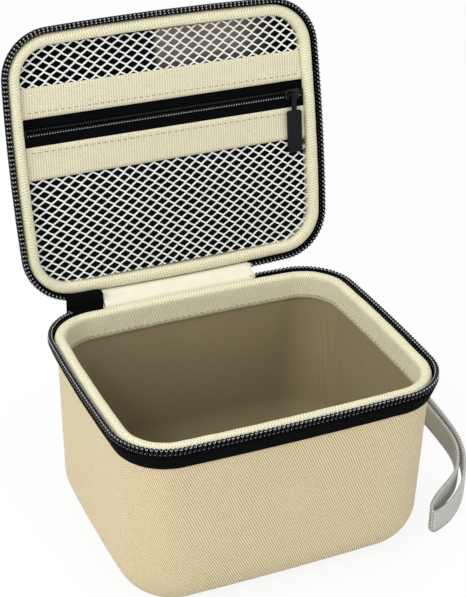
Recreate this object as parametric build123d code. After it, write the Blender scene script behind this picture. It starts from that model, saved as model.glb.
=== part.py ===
"""Zipped hard case with a zipped net pocket in its lid and a webbing wrist loop.

X runs along the long side, Y to the hinge at the back and Z up. The origin is the middle of the
tub's underside. Every rim piece is drawn as a section in two numbers: inset, measured inwards from
the tub's rim outline, and drop, measured away from the plane where the two zip rows meet. Tub pieces
hang below that plane, lid pieces are mirrored above it and then swung open about the hinge line.
"""
from build123d import *
import math
import os

os.makedirs("parts", exist_ok=True)

# Case, measured over the zip bands
case_width = 155.0
case_depth = 128.0
rim_height = 92.0
lid_height = 22.0
corner_radius = 26.0
lid_corner_radius = 24.0
side_bow = 2.1
front_bow = 2.1
lid_flare = 1.0
open_angle = 101.6
hinge_clearance = 0.3

# Moulded foam shells with their covers and linings
band_stand = 4.5
cover_thickness = 0.6
shell_thickness = 1.9
lining_thickness = 0.4
shell_drop = 4.0
ease_start = 15.0
base_corner_ease = 7.0
tub_base_radius = 22.0
lid_top_radius = 14.0
glue_gap = 0.1

# Zip band and binding round each rim
row_height = 3.3
row_thickness = 2.0
row_clearance = 0.2
tooth_pitch = 2.05
tooth_head = 1.45
tooth_foot = 0.9
tape_thickness = 1.1
band_height = 11.5
binding_thickness = 1.0
tub_binding_leg = 14.0
lid_binding_leg = 7.7
outer_leg = 7.0
binding_roll = 2.0

# Hinge strip and the ends of the main zip, along X
crotch_inset = 18.6
joined_length = 14.4
clamp_length = 2.1
hinge_right_inset = 45.3
spine_height = 12.5
panel_thickness = 0.85
stop_length = 3.0
leaf_clearance = 0.3

# Sliders and pulls
tooth_half = 2.6
chain_thickness = 1.6
row_gap = 0.9
slider_length = 9.5
plate_thickness = 0.8
slide_clearance = 0.15
post_width = 0.5
bar_size = 0.9
eye_radius = 1.3
eye_width = 2.4
pull_width = 7.2
pull_length = 20.5
pull_neck = 8.0
pull_thickness = 1.4

# Net pocket in the lid
panel_drop = 4.6
panel_clearance = 0.15
pocket_zip_y = -17.0
pocket_tape_width = 14.5
pocket_tape_thickness = 0.6
upper_band_width = 13.2
lower_band_width = 14.6
pocket_band_thickness = 1.2
net_thickness = 0.7
net_pitch = 7.4
net_strand = 1.5
pocket_tooth_half = 1.9
pocket_slider_length = 7.6
pocket_end_gap = 1.3
parking_clearance = 1.15
seam_gap = 0.1

# Wrist loop
strap_thickness = 1.4
strap_height = 12.0
anchor_y = 22.0
anchor_drop = 27.0
anchor_length = 10.0

half_width = case_width / 2
half_depth = case_depth / 2
hinge_y = half_depth + lid_flare + hinge_clearance
crotch_x = crotch_inset - half_width
parked_end = crotch_x + joined_length
hinge_left = parked_end + glue_gap + clamp_length
hinge_right = half_width - hinge_right_inset
hinge_axis = Axis((0, hinge_y, rim_height), (1, 0, 0))


def meeting_point(centre_a, reach_a, centre_b, reach_b):
    """Point at two given distances from two centres, on the side away from the origin."""
    apart = math.dist(centre_a, centre_b)
    step_x = (centre_b[0] - centre_a[0]) / apart
    step_y = (centre_b[1] - centre_a[1]) / apart
    along = (apart**2 + reach_a**2 - reach_b**2) / (2 * apart)
    across = math.sqrt(reach_a**2 - along**2)
    return (centre_a[0] + along * step_x - across * step_y,
            centre_a[1] + along * step_y + across * step_x)


class Outline:
    """Closed outline of eight tangent arcs: four bowed sides and four corners."""

    def __init__(self, flare, corner):
        self.width = half_width + flare
        self.depth = half_depth + flare
        self.corner = corner
        self.side = (self.depth**2 + side_bow**2) / (2 * side_bow)
        self.front = (self.width**2 + front_bow**2) / (2 * front_bow)
        self.side_x = self.width - self.side
        self.front_y = self.depth - self.front
        self.corner_x, self.corner_y = meeting_point((self.side_x, 0), self.side - corner,
                                                     (0, self.front_y), self.front - corner)
        self.low = math.degrees(math.atan2(self.corner_y, self.corner_x - self.side_x))
        self.high = math.degrees(math.atan2(self.corner_y - self.front_y, self.corner_x))

    def wire(self, inset):
        """The outline moved inwards by inset. It starts at the middle of the right side."""
        low = self.low
        high = self.high
        bend = high - low
        side = self.side - inset
        front = self.front - inset
        corner = self.corner - inset
        x = self.corner_x
        y = self.corner_y
        arcs = [
            CenterArc((self.side_x, 0), side, 0, low),
            CenterArc((x, y), corner, low, bend),
            CenterArc((0, self.front_y), front, high, 180 - 2 * high),
            CenterArc((-x, y), corner, 180 - high, bend),
            CenterArc((-self.side_x, 0), side, 180 - low, 2 * low),
            CenterArc((-x, -y), corner, 180 + low, bend),
            CenterArc((0, -self.front_y), front, 180 + high, 180 - 2 * high),
            CenterArc((x, -y), corner, -high, bend),
            CenterArc((self.side_x, 0), side, -low, low),
        ]
        return Wire([arc.edge() for arc in arcs])

    def rear_y(self, x, inset):
        """Y of the back side at a given x, moved inwards by inset."""
        if abs(x) < self.corner_x:
            return self.front_y + math.sqrt((self.front - inset)**2 - x**2)
        return self.corner_y + math.sqrt((self.corner - inset)**2 - (abs(x) - self.corner_x)**2)

    def ring(self, outline):
        """Sweep a section, drawn in inset and drop, once round the outline."""
        start = Plane((self.width, 0, 0), x_dir=(-1, 0, 0), z_dir=(0, -1, 0))
        return sweep(start * make_face(outline), path=self.wire(0))


tub_rim = Outline(0, corner_radius)
lid_rim = Outline(lid_flare, lid_corner_radius)


def dish(rim, inset, mouth, depth, edge_radius, ease):
    """Solid form of a moulded shell, from its mouth down to its rounded closed end."""
    waist = ease_start if ease else depth
    top_face = make_face(rim.wire(inset))
    body = Pos(0, 0, -waist) * extrude(top_face, amount=waist - mouth)
    if ease:
        grown = ease * (depth - waist) / (rim_height - waist)
        base = Outline(0, rim.corner + grown)
        body += loft([Pos(0, 0, -waist) * top_face, Pos(0, 0, -depth) * make_face(base.wire(inset))],
                     ruled=True)
    closed_edges = body.edges().group_by(Axis.Z)[0]
    return fillet(closed_edges, edge_radius)


def moulded_wall(rim, inset, depth, edge_radius, thickness, ease):
    """Open wall of even thickness between two nested dishes."""
    outer = dish(rim, inset, shell_drop, depth, edge_radius, ease)
    inner = dish(rim, inset + thickness, shell_drop - 1, depth - thickness, edge_radius - thickness, ease)
    return outer - inner


def loop_of(points):
    return Polyline(*points, close=True)


def strip_box(left, right, reach):
    """Block over the back of the rim between two x values."""
    return Pos((left + right) / 2, half_depth, 0) * Box(right - left, case_depth / 2, reach)


def side_by_side(width_x, low_y, high_y, height):
    """Block across the lid between two y values."""
    return Pos(0, (low_y + high_y) / 2, 0) * Box(width_x, high_y - low_y, height)


def on_tub(piece):
    return Pos(0, 0, rim_height) * piece


def on_lid(piece):
    """Mirror a piece above the mating plane and swing it open with the lid."""
    closed = Pos(0, 0, rim_height) * mirror(piece, about=Plane.XY)
    return closed.rotate(hinge_axis, -open_angle)


tape_top = row_height + row_clearance + glue_gap
band_bottom_inset = band_stand - glue_gap - tape_thickness
shell_within = cover_thickness + seam_gap / 2
lining_within = shell_within + shell_thickness + seam_gap / 2
inner_face = band_stand + lining_within + lining_thickness
panel_inset = inner_face + glue_gap + binding_thickness + panel_clearance


def layer(within, thickness, is_lid):
    """One layer of a moulded wall, starting a given way inside its outer face."""
    if is_lid:
        return moulded_wall(lid_rim, band_stand + within, lid_height - within, lid_top_radius - within,
                            thickness, 0)
    return moulded_wall(tub_rim, band_stand + within, rim_height - within, tub_base_radius - within,
                        thickness, base_corner_ease)


def cover(is_lid):
    return layer(0, cover_thickness, is_lid)


def shell(is_lid):
    return layer(shell_within, shell_thickness, is_lid)


def lining(is_lid):
    return layer(lining_within, lining_thickness, is_lid)


def zip_tape(rim, left):
    """Tape leaning from the foot of the teeth in to the shell wall, open at the back from left on."""
    top = 0.4
    foot = band_bottom_inset
    ring = rim.ring(loop_of([(top, tape_top), (top + tape_thickness, tape_top),
                             (foot + tape_thickness, band_height), (foot, band_height)]))
    return ring - strip_box(left, hinge_right, 4 * band_height)


def tooth():
    """One tooth of the coil, wide at the mating edge and narrow at the tape."""
    top = row_height / 2
    side = Polygon((-tooth_head / 2, top), (tooth_head / 2, top), (tooth_foot / 2, -top),
                   (-tooth_foot / 2, -top), align=None)
    return extrude(Plane.XZ * side, amount=row_thickness / 2, both=True)


def zip_row(rim, shift):
    """One row of coil teeth along the tape's edge, started a share of a pitch further on."""
    path = rim.wire(0.3 + row_thickness / 2)
    count = round(path.length / tooth_pitch)
    level = row_clearance + row_height / 2
    first = crotch_x - tooth_head / 2
    last = hinge_right + stop_length + glue_gap + tooth_head / 2
    teeth = []
    for number in range(count):
        share = (number + shift) / count
        point = path.position_at(share)
        if point.Y > 0 and first < point.X < last:
            continue
        seat = Plane(origin=(point.X, point.Y, -level), x_dir=path.tangent_at(share), z_dir=(0, 0, 1))
        teeth.append(seat * tooth())
    return Compound(teeth)


def binding(rim, leg):
    """Woven strip folded over the shell's edge: outer leg, rolled top and inner leg."""
    outside = band_stand - glue_gap - binding_thickness
    wall = band_stand - glue_gap
    inside = inner_face + glue_gap
    face = inside + binding_thickness
    crest = shell_drop - glue_gap - binding_thickness - 1.8
    roll = binding_roll
    bend = roll * (1 - math.sqrt(0.5))
    return rim.ring([
        Line((outside, outer_leg), (outside, crest + roll)),
        ThreePointArc((outside, crest + roll), (outside + bend, crest + bend), (outside + roll, crest)),
        Line((outside + roll, crest), (face - roll, crest)),
        ThreePointArc((face - roll, crest), (face - bend, crest + bend), (face, crest + roll)),
        Line((face, crest + roll), (face, leg)),
        Line((face, leg), (inside, leg)),
        Line((inside, leg), (inside, shell_drop - glue_gap)),
        Line((inside, shell_drop - glue_gap), (wall, shell_drop - glue_gap)),
        Line((wall, shell_drop - glue_gap), (wall, outer_leg)),
        Line((wall, outer_leg), (outside, outer_leg)),
    ])


def hinge_part(ring):
    return ring & strip_box(hinge_left + leaf_clearance, hinge_right - leaf_clearance, 4 * spine_height)


def hinge_spine(rim):
    """Outer leaf of the fabric hinge, between the two ends of the zip."""
    top = 0.3
    foot = band_bottom_inset
    return hinge_part(rim.ring(loop_of([
        (top, leaf_clearance), (top + tape_thickness, leaf_clearance), (top + tape_thickness, tape_top),
        (foot + tape_thickness, spine_height), (foot, spine_height), (top, tape_top)])))


def hinge_panel(rim):
    """Inner leaf of the hinge, against the binding's outer leg."""
    far = band_stand - glue_gap - binding_thickness - glue_gap
    near = far - panel_thickness
    return hinge_part(rim.ring(loop_of([(near, leaf_clearance), (far, leaf_clearance), (far, tape_top),
                                        (near, tape_top)])))


def row_stop(rim):
    """Clamp on the end of a zip row beside the hinge."""
    near = 0.2
    far = near + row_thickness + 0.2
    block = rim.ring(loop_of([(near, row_clearance), (far, row_clearance),
                              (far, tape_top - 0.05), (near, tape_top - 0.05)]))
    return block & strip_box(hinge_right, hinge_right + stop_length, 4 * band_height)


def chain(length, half, thickness):
    """Closed chain along X: two rows with the slot that a slider's post runs in."""
    row_width = half - row_gap / 2
    row = Box(length, row_width, thickness)
    row = fillet(row.edges().filter_by(Axis.X), thickness / 4)
    offset = (half + row_gap / 2) / 2
    return Compound([Pos(0, offset, 0) * row, Pos(0, -offset, 0) * row])


def slider_plate(length, half):
    """One plate of a slider, wide at the nose at +X and narrower at the tail."""
    wide = half + 0.7
    plan = Polygon((length / 2, wide), (-length / 2, wide - 0.3), (-length / 2, 0.3 - wide),
                   (length / 2, -wide), align=None)
    return extrude(fillet(plan.vertices(), 1.0), amount=plate_thickness)


def slider(length, half, thickness, tape):
    """Slider round a closed chain: two plates, post, side flanges and the arched bar for its pull."""
    level = thickness / 2 + slide_clearance
    top = Pos(0, 0, level) * slider_plate(length, half)
    bottom = mirror(top, about=Plane.XY)
    post = Pos(length / 2 - 1.3, 0, 0) * Box(1.6, post_width, 2 * level + plate_thickness)
    body = top + bottom + post
    lip = level - tape / 2 - slide_clearance
    flange_length = length - 4.0
    for side in (-1, 1):
        for face in (-1, 1):
            middle = Pos(0, side * (half + slide_clearance + 0.15), face * (level - lip / 2))
            body += middle * Box(flange_length, 0.3, lip + 0.02)
    outer = level + plate_thickness
    span = length * 0.68
    foot = bar_size
    rise = eye_radius + 0.2
    bar = Pos(0, 0, outer + rise) * Box(span, bar_size, bar_size)
    bar = fillet(bar.edges().filter_by(Axis.X), bar_size / 4)
    body += bar
    for end in (-1, 1):
        leg = Pos(end * (span - foot) / 2, 0, outer + rise / 2) * Box(foot, bar_size, rise)
        body += leg
    return body


def bar_level(thickness):
    """Height of the pull's turning axis above the chain's middle."""
    return thickness / 2 + slide_clearance + plate_thickness + eye_radius + 0.2


def pull():
    """Flat pull with an eye, hanging towards -Y from an axis along X at the origin."""
    eye = Rot(0, 90, 0) * (Cylinder(eye_radius, eye_width) - Cylinder(bar_size * 0.85, eye_width))
    neck_start = eye_radius - 0.25
    neck = Pos(0, -(neck_start + pull_neck) / 2, 0) * Box(eye_width, pull_neck - neck_start, pull_thickness * 0.7)
    plate = RectangleRounded(pull_width, pull_length, 0.8)
    tab = extrude(plate, amount=pull_thickness / 2, both=True)
    tab = Pos(0, -pull_neck - pull_length / 2 + 0.2, 0) * tab
    return eye + neck + tab


def rear_facing(piece):
    """Turn a zip piece from lying flat to standing on edge at the back, its face to +Y."""
    return Plane(origin=(0, hinge_y, rim_height), x_dir=(-1, 0, 0), z_dir=(0, 1, 0)) * piece


def parked_chain():
    """The joined end of the main zip, along the hinge line."""
    start = crotch_x + 2.5
    length = parked_end - start
    return rear_facing(Pos(-(start + length / 2), 0, 0) * chain(length, tooth_half, chain_thickness))


def parked_tape():
    """Tape that carries the joined end of the zip down to the tub's band."""
    start = crotch_x + 2.5
    end = parked_end
    thin = 0.8

    def level(drop, left_y, right_y):
        z = rim_height - drop
        return make_face(Polyline((start, left_y, z), (end, right_y, z), (end, right_y + thin, z),
                                  (start, left_y + thin, z), close=True))

    upper = level(tooth_half + 0.05, hinge_y - thin / 2, hinge_y - thin / 2)
    middle = level(tooth_half + 1.0, hinge_y - thin / 2, hinge_y - thin / 2)
    lower = level(band_height - 3.0, tub_rim.rear_y(start, 0.2), tub_rim.rear_y(end, 0.2))
    return loft([upper, middle, lower], ruled=True)


def parked_stop():
    """Clamp that ends the joined chain."""
    length = hinge_left - parked_end - glue_gap
    block = Box(length, 2 * tooth_half + 0.4, chain_thickness + 0.6)
    block = fillet(block.edges().filter_by(Axis.X), 0.5)
    return rear_facing(Pos(-(parked_end + glue_gap + length / 2), 0, 0) * block)


main_slider_x = crotch_x + 0.5 + slider_length / 2


def main_slider():
    return rear_facing(Pos(-main_slider_x, 0, 0) * slider(slider_length, tooth_half, chain_thickness, 0.8))


def main_pull():
    return rear_facing(Pos(-main_slider_x, 0, bar_level(chain_thickness)) * pull())


def in_pocket(piece):
    """Place a piece drawn face up on the pocket panel, then swing it open with the lid."""
    closed = Location((0, pocket_zip_y, rim_height + panel_drop)) * (Rot(180, 0, 0) * piece)
    return closed.rotate(hinge_axis, -open_angle)


def panel_strip(low_y, high_y, thickness):
    """Piece of the pocket panel between two y values, ending at the binding."""
    sheet = extrude(make_face(lid_rim.wire(panel_inset)), amount=thickness / 2, both=True)
    piece = sheet & side_by_side(case_width, low_y, high_y, 4 * thickness)
    return Pos(0, 0, -panel_drop) * piece


def diamond(x, y, size):
    return Polyline((x - size, y), (x, y - size), (x + size, y), (x, y + size), close=True)


def net(low_y, high_y):
    """Flat net as one sheet with diamond gaps, whole ones only."""
    strip = panel_strip(low_y, high_y, net_thickness)
    outline = strip.faces().sort_by(Axis.Z)[-1].outer_wire()
    size = (net_pitch - net_strand) / 2
    border = make_face(offset_2d_inside(outline))
    gaps = []
    rows = int((high_y - low_y) / net_pitch) * 2 + 2
    columns = int(case_width / net_pitch) + 2
    for row in range(-rows, rows + 1):
        y = (low_y + high_y) / 2 + row * net_pitch / 2
        for column in range(-columns, columns + 1):
            x = (column + 0.5 * (row % 2)) * net_pitch
            corners = ((x - size, y), (x + size, y), (x, y - size), (x, y + size))
            if all(border.is_inside((cx, cy, -panel_drop + net_thickness / 2)) for cx, cy in corners):
                gaps.append(Wire(diamond(x, y, size).edges()))
    holed = Face(Wire(Pos(0, 0, panel_drop - net_thickness / 2) * outline), gaps)
    return Pos(0, 0, -panel_drop - net_thickness / 2) * extrude(holed, amount=net_thickness), len(gaps)


def offset_2d_inside(outline):
    return outline.offset_2d(-net_strand)


band_gap = seam_gap / 2
zip_low = pocket_zip_y - pocket_tape_width / 2
zip_high = pocket_zip_y + pocket_tape_width / 2
chain_gap = pocket_tooth_half + band_gap
upper_net_edge = zip_low - upper_band_width
lower_net_edge = zip_high + lower_band_width
pocket_chain_half = half_width + lid_flare - panel_inset - pocket_end_gap
pocket_slider_x = pocket_chain_half - pocket_slider_length / 2 - parking_clearance


def pocket_chain():
    return in_pocket(chain(2 * pocket_chain_half, pocket_tooth_half, chain_thickness))


def pocket_stops():
    """Clamps over the two ends of the pocket's chain."""
    length = 1.0
    block = Box(length, 2 * pocket_tooth_half, chain_thickness + 0.4)
    reach = pocket_chain_half + 0.05 + length / 2
    return in_pocket(Compound([Pos(reach, 0, 0) * block, Pos(-reach, 0, 0) * block]))


def pocket_slider():
    body = slider(pocket_slider_length, pocket_tooth_half, chain_thickness, pocket_tape_thickness)
    return in_pocket(Pos(pocket_slider_x, 0, 0) * body)


def pocket_pull():
    """Pull of the pocket, leaning in until its tip lies just off the panel."""
    level = bar_level(chain_thickness)
    fall = level - pocket_band_thickness / 2 - pull_thickness / 2 - glue_gap
    lean = math.degrees(math.asin(fall / (pull_neck + pull_length)))
    return in_pocket(Pos(pocket_slider_x, 0, level) * (Rot(lean, 0, 0) * pull()))


anchor_z = rim_height - anchor_drop
loop_x = half_width - band_stand + strap_thickness + 0.4
loop_points = [(loop_x, anchor_y + 2.0), (98.0, -14.5), (103.4, -25.5), (97.5, -35.4), (86.0, -40.3),
               (77.8, -45.0), (80.2, -47.9), (91.0, -44.6), (101.0, -37.5), (106.0, -26.0),
               (100.6, -12.5), (loop_x + 2.8, anchor_y + 2.5)]
loop_radii = [0.9, 12.0, 6.0, 8.0, 14.0, 1.0, 1.0, 14.0, 9.0, 8.0, 14.0, 0.9]
loop_heights = [(loop_x, anchor_y, anchor_z), (104.0, -26.0, 23.5), (79.5, -46.0, 6.4)]


def strap_anchor():
    """The strap's two ends, laid together and sewn flat on the right wall."""
    near = band_stand - glue_gap - strap_thickness
    far = near + strap_thickness
    low = anchor_drop - strap_height / 2
    high = anchor_drop + strap_height / 2
    ring = tub_rim.ring(loop_of([(near, low), (far, low), (far, high), (near, high)]))
    window = Pos(half_width, anchor_y, -anchor_drop) * Box(20, anchor_length, 2 * strap_height)
    return on_tub(ring & window)


def wrist_loop():
    """Webbing loop standing on edge, falling from its anchor to the floor beside the tub."""
    centre = Wire(FilletPolyline(*loop_points, radius=loop_radii, close=True).edges())
    outer = make_face(centre.offset_2d(strap_thickness / 2))
    inner = make_face(centre.offset_2d(-strap_thickness / 2))
    wall = extrude(outer - inner, amount=rim_height)
    high, bulge, tip = (Vector(*point) for point in loop_heights)
    slope = Plane(origin=high, x_dir=tip - high, z_dir=(tip - high).cross(bulge - high))
    slab = extrude(slope * Rectangle(4 * case_width, 4 * case_width), amount=strap_height / 2,
                   dir=(0, 0, 1), both=True)
    return wall & slab


def write(name, piece):
    export_step(piece, f"parts/{name}.step")


lower_net, lower_gaps = net(lower_net_edge + band_gap, half_depth)
upper_net, upper_gaps = net(-half_depth, upper_net_edge - band_gap)

pieces = {
    "tub_cover": on_tub(cover(False)),
    "tub_shell": on_tub(shell(False)),
    "tub_lining": on_tub(lining(False)),
    "tub_binding": on_tub(binding(tub_rim, tub_binding_leg)),
    "tub_zip_tape": on_tub(zip_tape(tub_rim, hinge_left)),
    "tub_zip_row": on_tub(zip_row(tub_rim, 0)),
    "tub_row_stop": on_tub(row_stop(tub_rim)),
    "hinge_spine_tub": on_tub(hinge_spine(tub_rim)),
    "hinge_panel_tub": on_tub(hinge_panel(tub_rim)),
    "zip_parked_chain": parked_chain(),
    "zip_parked_tape": parked_tape(),
    "zip_parked_stop": parked_stop(),
    "strap_anchor": strap_anchor(),
    "lid_cover": on_lid(cover(True)),
    "lid_shell": on_lid(shell(True)),
    "lid_lining": on_lid(lining(True)),
    "lid_binding": on_lid(binding(lid_rim, lid_binding_leg)),
    "lid_zip_tape": on_lid(zip_tape(lid_rim, crotch_x)),
    "lid_zip_row": on_lid(zip_row(lid_rim, 0.5)),
    "lid_row_stop": on_lid(row_stop(lid_rim)),
    "hinge_spine_lid": on_lid(hinge_spine(lid_rim)),
    "hinge_panel_lid": on_lid(hinge_panel(lid_rim)),
    "pocket_net_upper": on_lid(upper_net),
    "pocket_net_lower": on_lid(lower_net),
    "pocket_band_upper": on_lid(panel_strip(upper_net_edge + band_gap, zip_low - band_gap,
                                            pocket_band_thickness)),
    "pocket_band_lower": on_lid(panel_strip(zip_high + band_gap, lower_net_edge - band_gap,
                                            pocket_band_thickness)),
    "pocket_tape_upper": on_lid(panel_strip(zip_low + band_gap, pocket_zip_y - chain_gap,
                                            pocket_tape_thickness)),
    "pocket_tape_lower": on_lid(panel_strip(pocket_zip_y + chain_gap, zip_high - band_gap,
                                            pocket_tape_thickness)),
    "pocket_chain": pocket_chain(),
    "pocket_stops": pocket_stops(),
    "main_slider": main_slider(),
    "main_pull": main_pull(),
    "pocket_slider": pocket_slider(),
    "pocket_pull": pocket_pull(),
    "wrist_loop": wrist_loop(),
}

for node, piece in pieces.items():
    write(node, piece)

print("net gaps", lower_gaps, upper_gaps)
print("hinge line y", round(hinge_y, 3), "z", rim_height)
print("closed height", rim_height + lid_height)
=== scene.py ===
"""Looks of a zipped hard case: cloths, rolled bindings, coil zips, net pocket, hinge cloth and wrist loop.

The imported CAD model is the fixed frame. Pieces of the rims are built closed, in two numbers like the CAD:
inset, inwards from the rim's outline, and drop, away from the plane where the two zip rows meet.
Lid pieces are then mirrored above that plane and swung open about the hinge line.
Sections, rows, beads, weaves and routes are in millimetres, which MM turns into Blender's metres.
"""
import math

import bmesh
import bpy
from mathutils import Matrix, Vector, noise


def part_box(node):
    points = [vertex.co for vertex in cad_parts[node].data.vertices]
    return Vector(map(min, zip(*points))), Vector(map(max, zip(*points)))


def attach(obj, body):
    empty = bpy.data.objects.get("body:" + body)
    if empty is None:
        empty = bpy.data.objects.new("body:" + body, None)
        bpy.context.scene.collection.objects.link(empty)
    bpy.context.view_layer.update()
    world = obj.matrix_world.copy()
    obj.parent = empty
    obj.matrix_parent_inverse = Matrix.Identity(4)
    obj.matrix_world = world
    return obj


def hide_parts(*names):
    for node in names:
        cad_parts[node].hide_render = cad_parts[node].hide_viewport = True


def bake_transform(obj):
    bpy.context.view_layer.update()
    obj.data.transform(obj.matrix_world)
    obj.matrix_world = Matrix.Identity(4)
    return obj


bl_info = {
    "name": "Zipped Hard Case",
    "version": (1, 0, 0),
    "blender": (4, 5, 0),
    "location": "View3D > Sidebar > Hard Case",
    "description": "Dresses a packed hard case in cloth, zips, net and webbing",
    "category": "Object",
}

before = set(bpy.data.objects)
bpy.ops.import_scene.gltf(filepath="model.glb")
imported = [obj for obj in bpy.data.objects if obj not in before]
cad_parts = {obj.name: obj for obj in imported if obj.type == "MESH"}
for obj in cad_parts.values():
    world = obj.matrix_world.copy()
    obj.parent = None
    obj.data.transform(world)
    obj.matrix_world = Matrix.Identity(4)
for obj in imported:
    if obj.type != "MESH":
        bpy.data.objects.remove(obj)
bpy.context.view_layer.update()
MM = 0.001
FULL_TURN = 2 * math.pi
WHITE = (1.0, 1.0, 1.0)


def length(name, description, millimetres):
    return bpy.props.FloatProperty(name=name, description=description, default=millimetres * MM,
                                   unit="LENGTH", subtype="DISTANCE")


def colour(name, description, red, green, blue):
    return bpy.props.FloatVectorProperty(name=name, description=description, default=(red, green, blue),
                                         size=3, subtype="COLOR", min=0.0, max=1.0)


class HardCaseSizes(bpy.types.PropertyGroup):
    """Sizes shared with the CAD frame, and those of the cloth and threads."""
    case_width: length("Case width", "Width over the zip bands", 155.0)
    case_depth: length("Case depth", "Depth over the zip bands", 128.0)
    rim_height: length("Rim height", "Height of the plane where the zip rows meet", 92.0)
    corner_radius: length("Corner radius", "Radius of the tub rim's corners", 26.0)
    lid_corner_radius: length("Lid corner radius", "Radius of the lid rim's corners", 24.0)
    side_bow: length("Side bow", "How far each short side bows out", 2.1)
    front_bow: length("Front bow", "How far each long side bows out", 2.1)
    lid_flare: length("Lid flare", "How much wider the lid's rim is all round", 1.0)
    hinge_clearance: length("Hinge clearance", "Hinge line's distance behind the lid's rim", 0.3)
    open_angle: bpy.props.FloatProperty(name="Open angle", description="Angle at which the lid is stored",
                                        default=math.radians(101.6), subtype="ANGLE", unit="ROTATION")
    tooth_pitch: length("Tooth pitch", "Distance between the main zip's teeth", 2.05)
    pocket_pitch: length("Pocket tooth pitch", "Distance between the pocket zip's teeth", 1.27)
    stitch_pitch: length("Stitch pitch", "Distance between stitches", 3.1)
    net_width: length("Net cell width", "Width of one diamond of the net", 6.0)
    net_height: length("Net cell height", "Height of one diamond of the net", 4.9)
    net_thread: length("Net thread", "Thickness of the net's threads", 0.48)
    webbing_width: length("Webbing width", "Width of the wrist loop's webbing", 11.7)
    webbing_thickness: length("Webbing thickness", "Thickness of the wrist loop's webbing", 1.3)


class HardCaseColours(bpy.types.PropertyGroup):
    """Colours of the cloths, zips and stage."""
    cover: colour("Cover", "Twill cover cloth", 0.548, 0.460, 0.287)
    binding: colour("Binding", "Ribbed binding", 0.93, 0.845, 0.595)
    band: colour("Band", "Woven bands of the pocket", 0.80, 0.715, 0.515)
    lining: colour("Lining", "Tub lining", 0.315, 0.262, 0.149)
    # Painted shade: the lid's lining behind the net is drawn near-black, standing in for the shade inside the
    # pocket and for the dark things kept in it
    pocket_painted_shade: colour("Pocket back", "Lid lining seen behind the net", 0.005, 0.005, 0.005)
    pocket_glow: colour("Pocket back, lit", "Lid lining where light reaches it", 0.42, 0.355, 0.255)
    satin: colour("Satin", "Hinge strip", 0.80, 0.755, 0.60)
    black_cloth: colour("Black cloth", "Zip tapes", 0.003, 0.003, 0.0035)
    black_nylon: colour("Black nylon", "Coil teeth", 0.002, 0.002, 0.0025)
    black_metal: colour("Black metal", "Sliders and stops", 0.005, 0.005, 0.006)
    black_rubber: colour("Black rubber", "Pulls", 0.003, 0.003, 0.004)
    # Partly painted highlight: the stitches at the coils' feet are real, and their grey stands in for the
    # glints along that row
    coil_glint_thread: colour("Coil thread", "Lower stitches along the coils", 0.16, 0.16, 0.165)
    # Painted highlight: pale stitches over the coils' crests stand in for the glints on the shiny nylon teeth
    crest_glint: colour("Coil crest", "Bright stitches over the coils' crests", 0.74, 0.74, 0.74)
    net: colour("Net", "Net threads", 0.93, 0.93, 0.91)
    webbing: colour("Webbing", "Wrist loop", 0.58, 0.58, 0.53)
    foam: colour("Foam", "Moulded foam", 0.05, 0.045, 0.04)
    floor: colour("Floor", "Pale floor", 0.86, 0.86, 0.86)


def sizes():
    return bpy.context.scene.hard_case_sizes


def colours():
    return bpy.context.scene.hard_case_colours


# Shader maths


class Value:
    """A shader socket that Python's arithmetic works on."""

    def __init__(self, finish, socket):
        self.finish = finish
        self.socket = socket

    def __add__(self, other):
        return self.finish.maths("ADD", self, other)

    def __radd__(self, other):
        return self.finish.maths("ADD", other, self)

    def __sub__(self, other):
        return self.finish.maths("SUBTRACT", self, other)

    def __rsub__(self, other):
        return self.finish.maths("SUBTRACT", other, self)

    def __mul__(self, other):
        return self.finish.maths("MULTIPLY", self, other)

    def __rmul__(self, other):
        return self.finish.maths("MULTIPLY", other, self)


def scaled(shade, factor):
    """A colour made darker or lighter, up to white."""
    return tuple(min(1.0, channel * factor) for channel in shade)


def opaque(shade):
    """What a colour socket takes: a value as it is, or three numbers with full alpha."""
    return shade if isinstance(shade, Value) else (*shade, 1.0)


# Sockets of a Mix node that is set to colours
MIX_FACTOR, MIX_FIRST, MIX_SECOND, MIX_RESULT = 0, 6, 7, 2


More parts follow.
